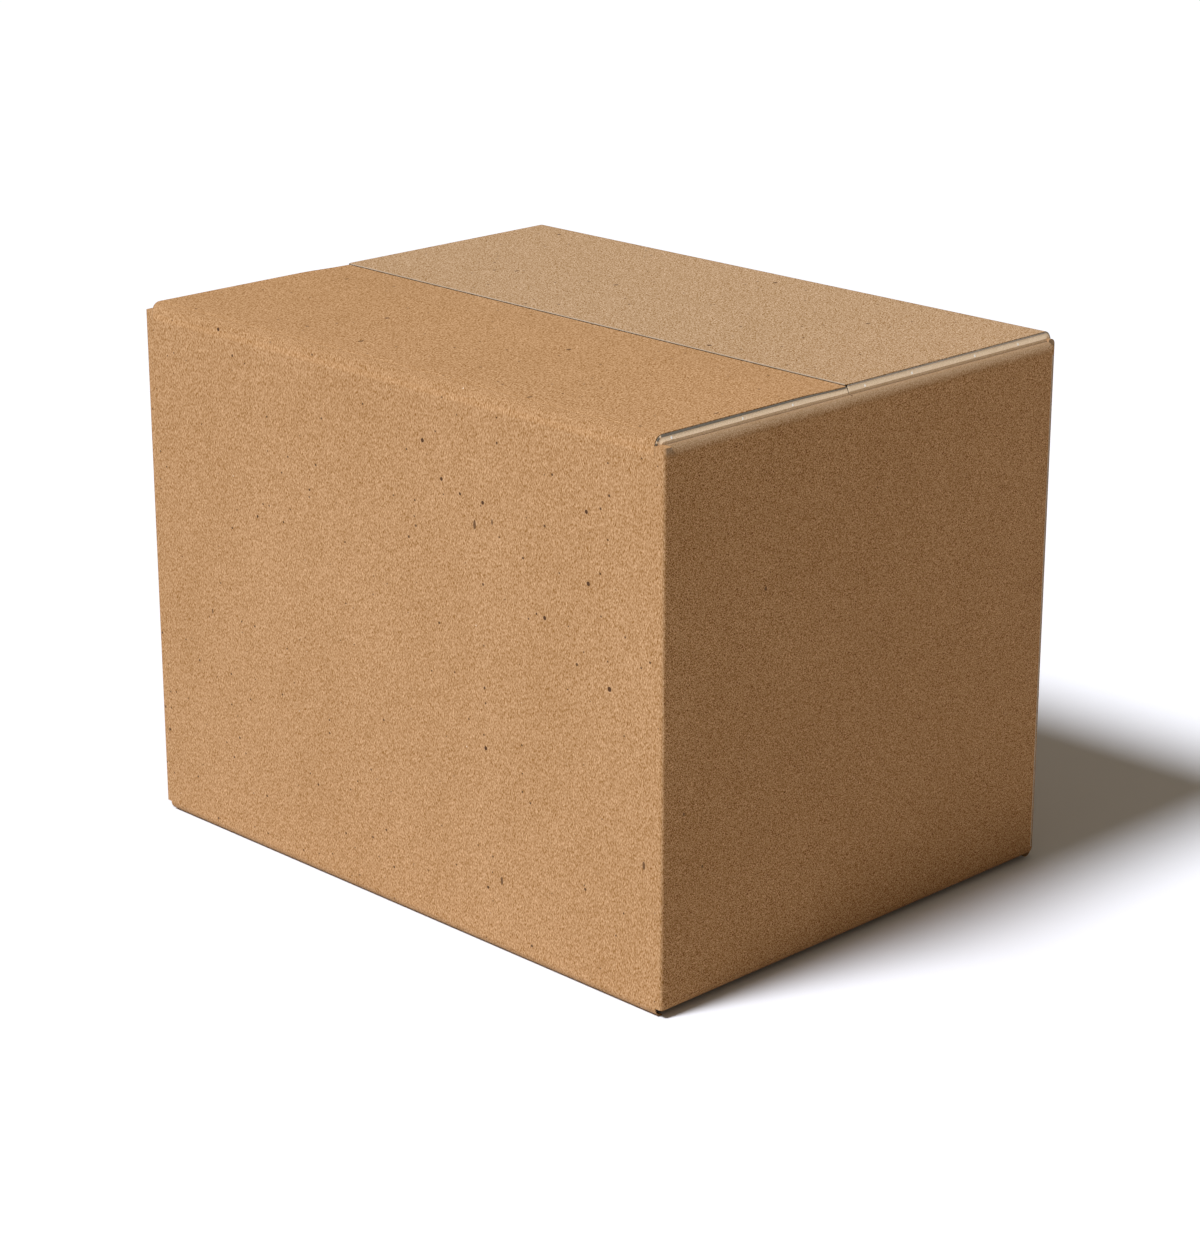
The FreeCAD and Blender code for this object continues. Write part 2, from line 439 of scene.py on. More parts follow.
for side in (-1, 1):
    x_low, x_high = sorted((side * SHORT_END, side * INSIDE_X))
    for word, z in (("top", END_TOP), ("floor", BOARD)):
        low = (x_low, max(SLOT_LOW, -FLAP_EDGE), z + PAPER)
        high = (x_high, min(SLOT_HIGH[side], FLAP_EDGE), z + BETWEEN)
        wall_flutes.append(flutes(f"flutes_short_{word}", low, high, "X"))
    y_low, y_high = sorted((side * FLOOR_GAP, side * INSIDE_Y))
    low = (-FLOOR_X, y_low, PAPER)
    wall_flutes.append(flutes("flutes_floor", low, (FLOOR_X, y_high, BETWEEN), "Y"))
faces = sum(len(ob.data.polygons) for ob in wall_flutes)
print("flute sheets", len(wall_flutes), "faces", faces)

# %% [markdown]
# ## Corners
# Between an end fold and a long fold the sheet is crushed at the corner. A small block
# with rounded edges stands there. At the rear right, where the sheet's cut edge is, the
# block stands a little higher, and a second one closes the end fold.

# %% Corner posts
def post(low, high, radius, bare):
    """A small block of pressed board that ends a corner, with rounded edges.

    bare tells which edges stay sharp: those that pass it are left out.
    """
    middle = [(a + b) / 2 * MM for a, b in zip(low, high)]
    bpy.ops.object.select_all(action="DESELECT")
    bpy.ops.mesh.primitive_cube_add(size=1, location=middle)
    ob = bpy.context.active_object
    ob.name = "corner_post"
    bpy.ops.object.mode_set(mode="EDIT")
    bpy.ops.mesh.select_all(action="SELECT")
    size = [(b - a) * MM for a, b in zip(low, high)]
    bpy.ops.transform.resize(value=size, center_override=middle)
    bpy.ops.object.mode_set(mode="OBJECT")
    bpy.ops.object.transform_apply(location=True, rotation=False, scale=False)
    bpy.ops.object.mode_set(mode="EDIT")
    pick(ob, lambda x, y, z: not bare(x, y, z), "EDGE")
    bpy.ops.mesh.bevel(affect="EDGES", offset=radius * MM, segments=4, profile=0.5)
    bpy.ops.object.mode_set(mode="OBJECT")
    return ob


POST_X = FLAP_X + 0.1
REAR_POST_RISE = 0.9
REAR_POST_ROUND = 2.3
FILLER_ROUND = 3.7
posts = []
for side_x, side_y in ((1, -1), (-1, -1), (-1, 1)):
    x_low, x_high = sorted((side_x * POST_X, side_x * HALF_X))
    y_low, y_high = sorted((side_y * INSIDE_Y, side_y * HALF_Y))
    posts.append(post((x_low, y_low, LONG_TOP), (x_high, y_high, PANEL_HIGH), CORNER,
                      lambda x, y, z: abs(x) < POST_X + NEAR or abs(y) < INSIDE_Y + NEAR))
posts.append(post((POST_X, INSIDE_Y, LONG_TOP), (REAR_CUT, HALF_Y, PANEL_HIGH + REAR_POST_RISE),
                  REAR_POST_ROUND, lambda x, y, z: z < PANEL_HIGH or y < HALF_Y - NEAR))
posts.append(post((REAR_CUT - 1, INSIDE_Y - 3, LONG_TOP - 1),
                  (HALF_X - 0.3, INSIDE_Y - 0.05, TOP_INNER - 0.3), FILLER_ROUND,
                  lambda x, y, z: x < HALF_X - 0.5 or z < TOP_INNER - 0.5))
print("posts", [len(ob.data.polygons) for ob in posts])

# %% [markdown]
# ## Long top flaps
# The two long flaps meet at a seam that runs slightly askew. Each is a flat sandwich.
# Their free corners are clipped a little, as handling does, and the front flap is
# pressed thinner towards its free edge.

# %% Cut and press a sheet of a long flap
SEAM_LEFT = -6.3
SEAM_RIGHT = -10.7
SEAM_SLOPE = (SEAM_RIGHT - SEAM_LEFT) / LENGTH
SEAM_HALF_GAP = 0.12
CORNER_CLIP = 0.3
FLAP_START = INSIDE_Y - ROLL_REACH
UNCUT_REACH = 14.0
PRESSED = 0.75
PRESS_REACH = 30
PRESS_STEP = 6
FLAP_LEAD = {-1: 0.25, 1: 0.0}


def seam_y(x):
    """Middle of the seam at a place along the box."""
    return SEAM_LEFT + (x + HALF_X) * SEAM_SLOPE


def trim_to_seam(ob, side):
    """Cut a sheet along its side of the seam and clip its two free corners."""
    bpy.ops.object.mode_set(mode="EDIT")
    cuts = [((0, seam_y(0) + side * SEAM_HALF_GAP), (side * SEAM_SLOPE, -side))]
    for end in (-1, 1):
        x = end * (FLAP_X - CORNER_CLIP)
        y = seam_y(end * FLAP_X) + side * (SEAM_HALF_GAP + CORNER_CLIP)
        cuts.append(((x, y), (end, -side)))
    for (x, y), (nx, ny) in cuts:
        bpy.ops.mesh.select_all(action="SELECT")
        bpy.ops.mesh.bisect(plane_co=(x * MM, y * MM, 0), plane_no=(nx, ny, 0), clear_outer=True)


def press_edge(ob, side):
    """Press the board thinner towards its free edge, as rough handling does."""
    for place in range(PRESS_STEP, PRESS_REACH + 1, PRESS_STEP):
        bpy.ops.mesh.select_all(action="SELECT")
        spot = (0, (SEAM_RIGHT + side * place) * MM, 0)
        bpy.ops.mesh.bisect(plane_co=spot, plane_no=(0, 1, 0))
    mesh = bmesh.from_edit_mesh(ob.data)
    for v in mesh.verts:
        reach = side * (v.co.y / MM - seam_y(v.co.x / MM))
        share = max(0.0, 1 - reach / PRESS_REACH)
        ease = share * share * (3 - 2 * share)
        v.co.z -= PRESSED * ease * (v.co.z - TOP_INNER * MM) / BOARD
    bmesh.update_edit_mesh(ob.data)


def flap_sheets(side):
    """Outer liner, inner liner and flutes of one long top flap."""
    fold_end = side * FLAP_START
    free_end = -side * UNCUT_REACH
    made = []
    for word, z, outside in (("outer", HEIGHT, True), ("inner", TOP_INNER, False)):
        path = [(fold_end, z), (free_end, z)]
        ob = liner(f"flap_{word}", "X", 2 * FLAP_X, 0, path, [], outside)
        trim_to_seam(ob, side)
        if side < 0:
            press_edge(ob, side)
        made.append(thicken(ob))
    y_low, y_high = sorted((fold_end, free_end))
    wave = flutes("flap_flutes", (-FLAP_X, y_low, TOP_INNER + PAPER),
                  (FLAP_X, y_high, TOP_INNER + BETWEEN), "Y", FLAP_LEAD[side])
    trim_to_seam(wave, side)
    if side < 0:
        press_edge(wave, side)
    bpy.ops.object.mode_set(mode="OBJECT")
    made.append(wave)
    return made


# %% [markdown]
# ## Cut ends
# The cut ends of the flaps show as three bands: the hollow under the outer paper, a pale
# torn band, and a brown lip where the knife pushed the inner paper outwards. Each band is
# a thin strip along the cut end. On the front flap and its fold the hollow's strip is
# painted shade: a dark sheet where the hollow is only in shadow. The pale band is pale cut
# paper, painted lighter still as painted light, since it lies in shade. A profile lists its
# places: how far past the flap's end, and how far above its underside. Round the end of a
# fold the same strip is spun about the fold's inner corner. The front flap's hollow tapers
# towards the seam.

# %% Strips that close the cut ends
LIP = [(1.0, 1.08), (1.35, 0.1)]
EDGE_PROFILES = {
    -1: ([(0.35, 3.7), (0.35, 2.75)], [(0.35, 2.75), (0.3, 2.7), (1.0, 1.08)], LIP),
    1: ([(0.3, 3.7), (0.3, 3.25)], [(0.3, 3.25), (0.25, 3.2), (1.0, 1.08)], LIP),
}
BANDS = len(EDGE_PROFILES[1])
MEETING = TOP_INNER + 2.72
TAPER = 0.4
STRIP_GAP = 0.2
QUARTER_STEPS = 6


def join_steps():
    """Merge the double corners that a spin leaves and let all faces point outwards."""
    bpy.ops.mesh.select_all(action="SELECT")
    bpy.ops.mesh.remove_doubles(threshold=0.00001)
    bpy.ops.mesh.normals_make_consistent(inside=False)


def edge_strips(side, end, curved):
    """The three bands on the cut end of a flap, or round the end of its fold."""
    made = []
    for points in EDGE_PROFILES[side]:
        path = [(end * (FLAP_X + out), TOP_INNER + up) for out, up in points]
        start = side * INSIDE_Y if curved else seam_y(end * FLAP_X) + side * STRIP_GAP
        stop = side * FLAP_START
        ob = liner("edge_strip", "Y", abs(stop - start), (start + stop) / 2, path, [])
        if curved:
            pick(ob, lambda x, y, z: abs(y - start) < NEAR / 2, "EDGE")
            centre = (0, side * INSIDE_Y * MM, TOP_INNER * MM)
            bpy.ops.mesh.spin(steps=QUARTER_STEPS, angle=side * math.pi / 2, center=centre,
                              axis=(1, 0, 0))
            join_steps()
        elif side < 0:
            pick(ob, lambda x, y, z: abs(y - start) < NEAR / 2 and abs(z - MEETING) < NEAR)
            bpy.ops.transform.translate(value=(0, 0, TAPER * MM))
            press_edge(ob, side)
        made.append(thicken(ob, STRIP_PAPER, 0))
    return made


flap_edges = {side: edge_strips(side, -1, False) + edge_strips(side, 1, False) for side in (-1, 1)}
roll_edges = {side: edge_strips(side, -1, True) + edge_strips(side, 1, True) for side in (-1, 1)}
for side, edges in roll_edges.items():
    heights = [v.co.z / MM for ob in edges for v in ob.data.vertices]
    print("fold edge", side, "from", round(min(heights), 2), "to", round(max(heights), 2))

# %% [markdown]
# ## Painted glints and cut edges
# Seven small white glints are painted on the pale band of the right end, as painted
# highlights. The edge of the rear flap shows as a thin pale line at the seam, and the rear
# panel's cut edge as a pale strip down the rear right corner.

# %% Painted glints on the pale band
GLINT_PLACES = {-1: (-110.2, -71.3, -43.0), 1: (-0.6, 28.0, 67.7, 95.8)}
GLINT_WIDTH = 0.7
GLINT_THICKNESS = 0.08
GLINT_PATH = [(FLAP_X + 0.62, TOP_INNER + 2.35), (FLAP_X + 1.0, TOP_INNER + 1.4)]


def painted_glint(y):
    """One small white glint painted across the pale band, a painted highlight."""
    return thicken(liner("painted_glint", "Y", GLINT_WIDTH, y, GLINT_PATH, []), GLINT_THICKNESS, 0)


painted_glints = {side: [painted_glint(y) for y in places] for side, places in GLINT_PLACES.items()}
print("painted_glints", {side: len(made) for side, made in painted_glints.items()})

# %% Pale edge at the seam
SEAM_STRIP_Y = seam_y(0) + 0.1
seam_path = [(SEAM_STRIP_Y, HEIGHT - 0.04), (SEAM_STRIP_Y, HEIGHT - 0.5)]
seam_strip = liner("seam_strip", "X", 2 * FLAP_X - 2, 0, seam_path, [])
bpy.ops.mesh.select_all(action="SELECT")
bpy.ops.transform.rotate(value=-math.atan(SEAM_SLOPE), orient_axis="Z",
                         center_override=(0, seam_y(0) * MM, 0))
thicken(seam_strip, STRIP_PAPER, 0)
print("seam strip", [round(v.co.y / MM, 2) for v in seam_strip.data.vertices][:4])

# %% Cut edge of the rear panel
rear_cut_path = [(REAR_CUT - PAPER, INSIDE_Y + PAPER), (REAR_CUT - 0.1, HALF_Y - BOARD / 2),
                 (REAR_CUT - PAPER, HALF_Y - PAPER)]
rear_cut_strip = liner("rear_cut_strip", "Z", LONG_TOP - PANEL_LOW, (LONG_TOP + PANEL_LOW) / 2,
                       rear_cut_path, [0])
thicken(rear_cut_strip, STRIP_PAPER, 0)
print("rear cut strip", len(rear_cut_strip.data.polygons), "faces")

# %% Sheets of both long flaps
front_papers = flap_sheets(-1)
rear_papers = flap_sheets(1)
print("flaps", [len(ob.data.polygons) for ob in front_papers + rear_papers])

# %% [markdown]
# ## Folds of the long flaps
# The fold is a roll of board between the panel and the flap. On the real box it bends when
# the flap opens; here it is a piece of its own, fixed in place. The flutes run round the
# roll, so one flute profile is spun about the inner corner of the fold.

# %% Liners and flutes of a fold
def roll_liners(side):
    """Outer and inner liner of the roll between a long panel and its flap."""
    outside, inside, flap = [side * y for y in (HALF_Y, INSIDE_Y, FLAP_START)]
    over = [(outside, LONG_TOP), (outside, HEIGHT), (flap, HEIGHT)]
    outer = thicken(liner("roll_outer", "X", 2 * FLAP_X, 0, over, [BOARD]))
    steps = [1.0, 2.0, 3.0]
    under = [(inside, LONG_TOP)] + [(inside, LONG_TOP + step) for step in steps]
    under += [(inside, TOP_INNER)] + [(inside - side * step, TOP_INNER) for step in steps]
    under += [(flap, TOP_INNER)]
    radii = [0, 0, 0, INNER_BEND, 0, 0, 0]
    inner = thicken(liner("roll_inner", "X", 2 * FLAP_X, 0, under, radii, outside=False))
    return [outer, inner]


def roll_flutes(side):
    """Flutes that follow the roll, spun about its inner corner."""
    middle = side * (HALF_Y - BOARD / 2)
    start_x = -FLAP_X - FLUTE_PITCH * (1 + FLAP_LEAD[side])
    ob = new_edge("roll_flutes", (start_x, middle, LONG_TOP), 1.0, "Z")
    pick(ob, lambda x, y, z: z > LONG_TOP)
    bpy.ops.mesh.delete(type="VERT")
    bpy.ops.mesh.select_all(action="SELECT")
    bpy.ops.transform.translate(value=(0, 0, 0.5 * MM))
    zigzag(0, 1, (BETWEEN - PAPER - FLUTE_PAPER) / 2 * WAVE_GAIN)
    bpy.ops.mesh.select_all(action="SELECT")
    up = (0, 0, ROLL_REACH * MM)
    bpy.ops.mesh.extrude_region_move(TRANSFORM_OT_translate={"value": up})
    centre = (0, side * INSIDE_Y * MM, TOP_INNER * MM)
    bpy.ops.mesh.spin(steps=QUARTER_STEPS, angle=side * -math.pi / 2, center=centre, axis=(1, 0, 0))
    inwards = (0, -side * ROLL_REACH * MM, 0)
    bpy.ops.mesh.extrude_region_move(TRANSFORM_OT_translate={"value": inwards})
    join_steps()
    bpy.ops.object.mode_set(mode="OBJECT")
    repeat_wave(ob, 0, 2 * FLAP_X, 1)
    trim(ob, 0, -FLAP_X, FLAP_X)
    thicken(ob, FLUTE_PAPER, 0)
    heights = [v.co.z / MM for v in ob.data.vertices]
    print("roll flutes", side, "from", round(min(heights), 2), "to", round(max(heights), 2))
    return ob


front_roll_papers = roll_liners(-1) + [roll_flutes(-1)]
rear_roll_papers = roll_liners(1) + [roll_flutes(1)]

# %% [markdown]
# ## Shoulders inside the folds
# While a flap hangs right down, the board's top edge and the start of the flap form a
# rounded ridge. Each half of it is a shoulder inside the roll, one on the panel and its
# mirror image on the flap, so the open fold is closed and the shut one hides them.

# %% Shoulders of the panel and of the flap
SHOULDER = [(0.15, -4.0), (0.2, -1.0), (0.8, 1.2), (1.9, 2.35),
            (2.9, 2.0), (3.45, 0.9), (3.5, -0.5), (3.5, -4.0)]
SHOULDER_BENDS = [0.5, 0.6, 0.45, 0.4]
SHOULDER_X = FLAP_X - 0.3


def shoulder(side, on_flap):
    """Rounded end of the board at the fold, closed at both ends of the fold."""
    path = []
    for out, up in SHOULDER:
        across, rise = (up, out) if on_flap else (out, up)
        path.append((side * (INSIDE_Y + across), TOP_INNER + rise))
    ob = liner("shoulder", "X", 2 * SHOULDER_X, 0, path, SHOULDER_BENDS)
    for end in (-1, 1):
        pick(ob, lambda x, y, z: end * x > SHOULDER_X - NEAR)
        bpy.ops.mesh.edge_face_add()
    face_away(ob, True, BOX_MIDDLE)
    bpy.ops.object.mode_set(mode="OBJECT")
    for polygon in ob.data.polygons:
        polygon.material_index = int(abs(polygon.normal.x) > 0.9)
    return ob


panel_shoulders = [shoulder(side, False) for side in (-1, 1)]
flap_shoulders = [shoulder(side, True) for side in (-1, 1)]
print("shoulders", [len(ob.data.polygons) for ob in panel_shoulders + flap_shoulders])

# %% [markdown]
# ## Paper
# Brown packing paper is not one colour. It has soft clouds, a fine mottle of fibres, a
# few bright fibres and some dark specks of bark. Every sheet uses this, so it is one
# node group, and each material gives it its own colours and amounts.

# %% Helpers for nodes
def add_node(tree, kind, place, **settings):
    """A node at a place on the sheet, with its settings."""
    node = tree.nodes.new(kind)
    node.location = place
    for key, value in settings.items():
        setattr(node, key, value)
    return node


def math_node(tree, operation, place, first, second=None, clamp=False):
    """A Math node fed by sockets or numbers."""
    node = add_node(tree, "ShaderNodeMath", place, operation=operation, use_clamp=clamp)
    for slot, value in zip(node.inputs, (first, second)):
        if value is None:
            continue
        if isinstance(value, (int, float)):
            slot.default_value = value
        else:
            tree.links.new(value, slot)
    return node.outputs[0]


# %% The paper group
TINT_LEAN = (0.8, 1.05, 1.6)
PALE_FIBRE = (0.78, 0.66, 0.52)


def build_paper_group():
    """Brown paper: its colour, its relief and its roughness, from the place on the sheet."""
    group = bpy.data.node_groups.new("Kraft paper", "ShaderNodeTree")
    face = group.interface
    face.new_socket("Grain", in_out="INPUT", socket_type="NodeSocketVector")
    face.new_socket("Place", in_out="INPUT", socket_type="NodeSocketVector")
    face.new_socket("Base", in_out="INPUT", socket_type="NodeSocketColor")
    face.new_socket("Speck", in_out="INPUT", socket_type="NodeSocketColor")
    for name, value in (("Clouds", 0.06), ("Mottle", 0.2), ("Fibres", 0.12), ("Specks", 1.0)):
        socket = face.new_socket(name, in_out="INPUT", socket_type="NodeSocketFloat")
        socket.default_value = value
    face.new_socket("Color", in_out="OUTPUT", socket_type="NodeSocketColor")
    face.new_socket("Height", in_out="OUTPUT", socket_type="NodeSocketFloat")
    face.new_socket("Roughness", in_out="OUTPUT", socket_type="NodeSocketFloat")
    enter = add_node(group, "NodeGroupInput", (-1200, 0))
    leave = add_node(group, "NodeGroupOutput", (900, 0))
    link = group.links.new

    def calc(operation, place, first, second=None, clamp=False):
        return math_node(group, operation, place, first, second, clamp)

    def noise(scale, detail, roughness, distortion, place):
        node = add_node(group, "ShaderNodeTexNoise", place)
        link(enter.outputs["Grain"], node.inputs["Vector"])
        node.inputs["Scale"].default_value = scale
        node.inputs["Detail"].default_value = detail
        node.inputs["Roughness"].default_value = roughness
        node.inputs["Distortion"].default_value = distortion
        return node.outputs["Fac"]

    def around_one(value, amount, place):
        centred = calc("SUBTRACT", place, value, 0.5)
        scaled = calc("MULTIPLY", (place[0] + 160, place[1]), centred, amount)
        return calc("ADD", (place[0] + 320, place[1]), scaled, 1.0)

    # Soft clouds, a fine mottle and thin bright fibres make the tint stronger or weaker.
    clouds = noise(22, 3, 0.55, 0.0, (-900, 400))
    mottle = noise(2500, 1, 0.5, 0.3, (-900, 150))
    fibre = noise(900, 2, 0.5, 2.0, (-900, -100))
    cloud_gain = around_one(clouds, enter.outputs["Clouds"], (-700, 400))
    mottle_gain = around_one(mottle, enter.outputs["Mottle"], (-700, 150))
    ridge = calc("ABSOLUTE", (-540, -100), calc("SUBTRACT", (-700, -100), fibre, 0.5))
    wide = calc("MULTIPLY", (-460, -180), ridge, 22.0)
    thin = calc("SUBTRACT", (-380, -100), 1.0, wide, True)
    bright = calc("MULTIPLY", (-220, -100), thin, enter.outputs["Fibres"])
    fibre_gain = calc("ADD", (-60, -100), 1.0, bright)
    gain = calc("MULTIPLY", (100, 250), cloud_gain, mottle_gain)
    gain = calc("MULTIPLY", (260, 250), gain, fibre_gain)

    # Specks are the middles of random cells. The power keeps most of them very small.
    def specks(scale, size, power, place, source="Place"):
        node = add_node(group, "ShaderNodeTexVoronoi", place)
        link(enter.outputs[source], node.inputs["Vector"])
        node.inputs["Scale"].default_value = scale
        chance = add_node(group, "ShaderNodeSeparateColor", (place[0] + 160, place[1] - 120))
        link(node.outputs["Color"], chance.inputs["Color"])
        varied = calc("POWER", (place[0] + 320, place[1] - 120), chance.outputs[0], power)
        reach = calc("MULTIPLY", (place[0] + 480, place[1] - 120), varied, size)
        gap = calc("SUBTRACT", (place[0] + 640, place[1]), reach, node.outputs["Distance"])
        return calc("MULTIPLY", (place[0] + 800, place[1]), gap, 80.0, True)

    large = specks(85, 0.10, 2.3, (-1100, -350))
    small = specks(225, 0.15, 2.0, (-1100, -650))
    dash = specks(110, 0.10, 5.0, (-1100, -950), "Grain")
    pale = specks(150, 0.055, 4.0, (-1100, -1250))
    both = calc("MAXIMUM", (-200, -450), large, calc("MULTIPLY", (-300, -560), small, 0.9))
    both = calc("MAXIMUM", (-100, -500), both, calc("MULTIPLY", (-200, -700), dash, 0.8))
    speck_mask = calc("MULTIPLY", (0, -450), both, enter.outputs["Specks"], True)
    light_spot = calc("MULTIPLY", (0, -650), pale, 0.7)

    # Where the tint grows stronger or weaker, its blue changes most and its red least.
    lean = add_node(group, "ShaderNodeVectorMath", (260, 420), operation="MULTIPLY")
    link(enter.outputs["Base"], lean.inputs[0])
    lean.inputs[1].default_value = TINT_LEAN
    change = add_node(group, "ShaderNodeVectorMath", (430, 420), operation="SCALE")
    link(lean.outputs[0], change.inputs[0])
    link(calc("SUBTRACT", (380, 250), gain, 1.0), change.inputs["Scale"])
    scaled = add_node(group, "ShaderNodeVectorMath", (540, 300), operation="ADD")
    link(enter.outputs["Base"], scaled.inputs[0])
    link(change.outputs[0], scaled.inputs[1])
    blend = add_node(group, "ShaderNodeMix", (620, 150), data_type="RGBA")
    link(speck_mask, blend.inputs["Factor"])
    link(scaled.outputs[0], blend.inputs[6])
    link(enter.outputs["Speck"], blend.inputs[7])
    lighten = add_node(group, "ShaderNodeMix", (760, 150), data_type="RGBA")
    link(light_spot, lighten.inputs["Factor"])
    link(blend.outputs[2], lighten.inputs[6])
    lighten.inputs[7].default_value = (*PALE_FIBRE, 1)
    link(lighten.outputs[2], leave.inputs["Color"])
    height = calc("ADD", (430, -100), mottle, calc("MULTIPLY", (260, -150), thin, 0.3))
    link(height, leave.inputs["Height"])
    rough = calc("ADD", (430, -250), calc("MULTIPLY", (260, -250), mottle, 0.15), 0.78)
    link(rough, leave.inputs["Roughness"])
    return group


paper_group = build_paper_group()
print("paper group", len(paper_group.nodes), "nodes")


# %% A paper material
SPECK = (0.066, 0.027, 0.009)
GRAIN_TURN = (0.37, 0.21, 0.53)
RELIEF = 0.07


def add_fade(tree, where, paper, axis, stops, calm):
    """Let the tint change along an axis, from stop to stop.

    A stop is a place in millimetres and its tint. calm is the share of the mottle that
    is gone at the last stop.
    """
    parts = add_node(tree, "ShaderNodeSeparateXYZ", (-900, 300))
    tree.links.new(where.outputs["Object"], parts.inputs[0])
    share = add_node(tree, "ShaderNodeMapRange", (-900, 160))
    tree.links.new(parts.outputs[axis], share.inputs["Value"])
    share.inputs["From Min"].default_value = stops[0][0] * MM
    share.inputs["From Max"].default_value = stops[-1][0] * MM
    tints = add_node(tree, "ShaderNodeValToRGB", (-720, 240))
    tints.color_ramp.interpolation = "EASE"
    reach = stops[-1][0] - stops[0][0]
    for place, tint in stops[1:-1]:
        tints.color_ramp.elements.new((place - stops[0][0]) / reach)
    for element, (place, tint) in zip(tints.color_ramp.elements, stops):
        element.color = (*tint, 1)
    tree.links.new(share.outputs["Result"], tints.inputs["Fac"])
    tree.links.new(tints.outputs["Color"], paper.inputs["Base"])
    if calm:
        mottle = paper.inputs["Mottle"].default_value
        loss = math_node(tree, "MULTIPLY", (-720, 40), share.outputs["Result"], mottle * calm)
        left = math_node(tree, "SUBTRACT", (-560, 60), mottle, loss)
        tree.links.new(left, paper.inputs["Mottle"])


def paper_material(name, base, clouds, mottle, specks=0.0, fibres=0.05, stretch=(1, 1, 1),
                   turn=GRAIN_TURN, fade=None):
    """A material with its own colour and amounts. The stretch draws the mottle along the grain."""
    material = bpy.data.materials.new(name)
    material.use_nodes = True
    tree = material.node_tree
    link = tree.links.new
    shader = tree.nodes["Principled BSDF"]
    where = add_node(tree, "ShaderNodeTexCoord", (-900, 0))
    grain = add_node(tree, "ShaderNodeMapping", (-720, 0))
    grain.inputs["Rotation"].default_value = turn
    grain.inputs["Scale"].default_value = stretch
    paper = add_node(tree, "ShaderNodeGroup", (-480, 0), node_tree=paper_group)
    paper.inputs["Base"].default_value = (*base, 1)
    paper.inputs["Speck"].default_value = (*SPECK, 1)
    paper.inputs["Clouds"].default_value = clouds
    paper.inputs["Mottle"].default_value = mottle
    paper.inputs["Fibres"].default_value = fibres
    paper.inputs["Specks"].default_value = specks
    if fade:
        add_fade(tree, where, paper, *fade)
    relief = add_node(tree, "ShaderNodeBump", (-220, -200))
    relief.inputs["Strength"].default_value = RELIEF
    relief.inputs["Distance"].default_value = 0.0002
    link(where.outputs["Object"], grain.inputs["Vector"])
    link(grain.outputs["Vector"], paper.inputs["Grain"])
    link(where.outputs["Object"], paper.inputs["Place"])
    link(paper.outputs["Color"], shader.inputs["Base Color"])
    link(paper.outputs["Roughness"], shader.inputs["Roughness"])
    link(paper.outputs["Height"], relief.inputs["Height"])
    link(relief.outputs["Normal"], shader.inputs["Normal"])
    shader.inputs["Specular IOR Level"].default_value = 0.2
    return material


# %% [markdown]
# The panels, the ends and the two flaps are the same paper, a little lighter or darker.
# The ends' paper is painted shade: darker and warmer, since the ends face away from the key
# light. The front fold carries painted light: paler low on its round as a painted highlight,
# and darker towards the flap as painted shade. Along their top fold the ends are worn dull
# and carry a painted sheen. The rear panel is greyer than the front.

# %% Papers of the outside
FRONT_TINT = (0.361, 0.201, 0.088)
REAR_TINT = (0.360, 0.228, 0.120)
# The ends' tint is painted shade: darker and warmer than the front's, since the ends face away from
# the light.
END_SHADED_TINT = (0.332, 0.169, 0.062)
# The greyer tint along the ends' top fold is wear and a painted sheen where the fold catches the
# light.
END_WORN_SHEEN_TINT = (0.282, 0.18, 0.096)
UPRIGHT = (1, 1, 0.4)
# Painted light on the front fold: paler low on the round, a painted highlight, and darker towards
# the flap, painted shade, so the lit round matches the flat faces.
FOLD_PAINTED_LIGHT_SHARES = [(229.0, 1.0), (230.2, 1.08), (231.6, 1.08), (233.2, 0.98), (235.6, 0.84)]
fold_painted_light_stops = [(place, [share * c for c in FRONT_TINT]) for place, share in FOLD_PAINTED_LIGHT_SHARES]
wall_stops = [(112, FRONT_TINT), (118, REAR_TINT)]
end_stops = [(228.5, END_SHADED_TINT), (232.5, END_WORN_SHEEN_TINT)]
kraft = paper_material("kraft_walls", FRONT_TINT, 0.22, 2.6, 1.0, stretch=UPRIGHT,
                       fade=("Y", wall_stops, 0))
# The front fold's paper, with a painted highlight and painted shade along Z.
front_fold_painted_light = paper_material("kraft_front_fold_painted_light", FRONT_TINT, 0.22, 2.6, 1.0, stretch=UPRIGHT,
                            fade=("Z", fold_painted_light_stops, 0))
# The ends' paper, with painted shade in its tint and a painted sheen along its top fold.
kraft_ends_painted_shade = paper_material("kraft_ends_painted_shade", END_SHADED_TINT, 0.22, 4.1, 1.0, stretch=(1, 1, 0.75),
                            turn=(0.9, 0.3, 0.4), fade=("Z", end_stops, 0.6))
kraft_front = paper_material("kraft_front_flap", FRONT_TINT, 0.10, 2.95, 0.8,
                             stretch=(0.9, 0.45, 1))
kraft_rear = paper_material("kraft_rear_flap", REAR_TINT, 0.10, 3.5, 0.9, fibres=0.04,
                            stretch=(0.9, 0.55, 1))
outside_papers = (kraft, front_fold_painted_light, kraft_ends_painted_shade, kraft_front, kraft_rear)
print("outside papers", [m.name for m in outside_papers])

# %% Papers of the inside and of the cut edges
seam_paper = paper_material("seam_paper", (0.46, 0.38, 0.28), 0.20, 0.9)
kraft_inside = paper_material("kraft_inside", (0.345, 0.21, 0.115), 0.20, 2.2, 0.8)
cut_paper = paper_material("cut_paper", (0.50, 0.38, 0.27), 0.20, 0.9)
# The pale band's paper: pale cut paper, made lighter still as painted light, since the band lies in
# shade.
cut_pale_painted_light = paper_material("cut_pale_painted_light", (0.90, 0.70, 0.475), 0.20, 0.7)
cut_lip = paper_material("cut_lip", (0.50, 0.337, 0.192), 0.20, 1.2)
